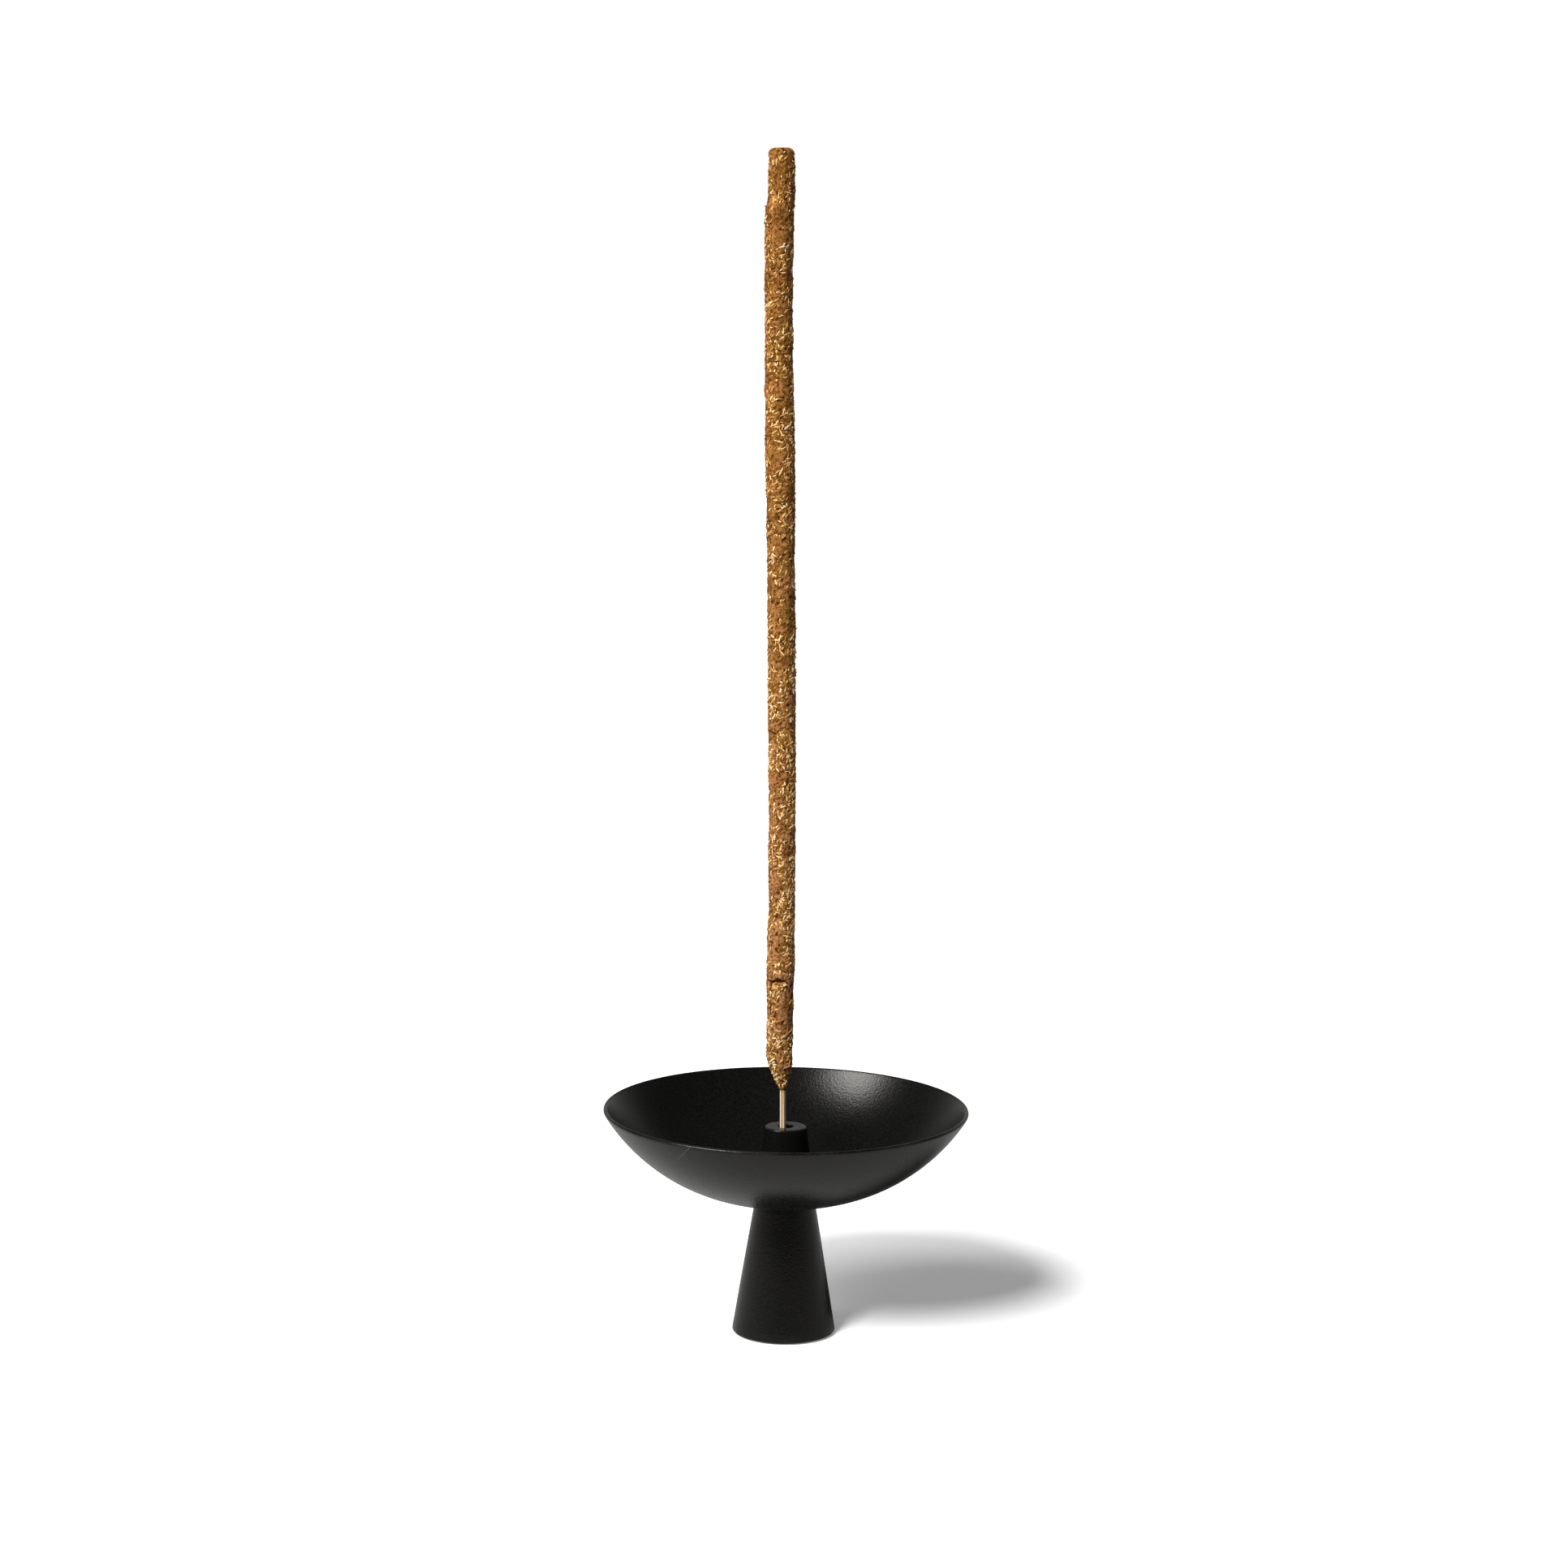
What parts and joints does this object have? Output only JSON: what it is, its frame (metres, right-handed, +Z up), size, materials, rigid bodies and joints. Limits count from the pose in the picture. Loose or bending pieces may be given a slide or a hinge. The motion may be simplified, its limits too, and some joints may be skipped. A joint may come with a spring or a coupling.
{
  "type": "incense burner",
  "caption": "Shallow dished metal bowl on a tapered foot, with a central conical holder that keeps a thick incense stick upright; the stick lifts out.",
  "frame": {"origin": "centre of the underside, on the table", "axes": "+Z up along the axis of the foot and bowl; the stick leans a fraction of a degree towards -X"},
  "size_m": [0.08, 0.08, 0.2581],
  "materials": {
    "black_coat_bowl": "satin black powder coat with a very fine mottle",
    "black_coat_foot": "satin black powder coat with a very fine mottle",
    "black_coat_holder": "satin black powder coat with a very fine mottle",
    "screw_steel": "zinc-plated, fine turning marks",
    "spring_steel": "plated spring steel",
    "washer_steel": "zinc-plated, stamped",
    "pad_rubber": "matt foam rubber",
    "bamboo": "split bamboo, fine lengthwise grain",
    "incense": "rough rolled dough of wood flakes and resin"
  },
  "bodies": {
    "burner": {"bowl": "black_coat_bowl", "foot": "black_coat_foot", "stick_holder": "black_coat_holder", "clamp_screw": "screw_steel", "spring_washer": "spring_steel", "flat_washer": "washer_steel", "base_pad": "pad_rubber"},
    "incense_stick": {"bamboo_core": "bamboo", "incense_paste": "incense"}
  },
  "joints": [
    {"name": "stick_lift", "type": "slide", "parent": "burner", "child": "incense_stick", "axis": [-0.0131, 0, 0.9999], "range_m": [0, 0.03]}
  ]
}
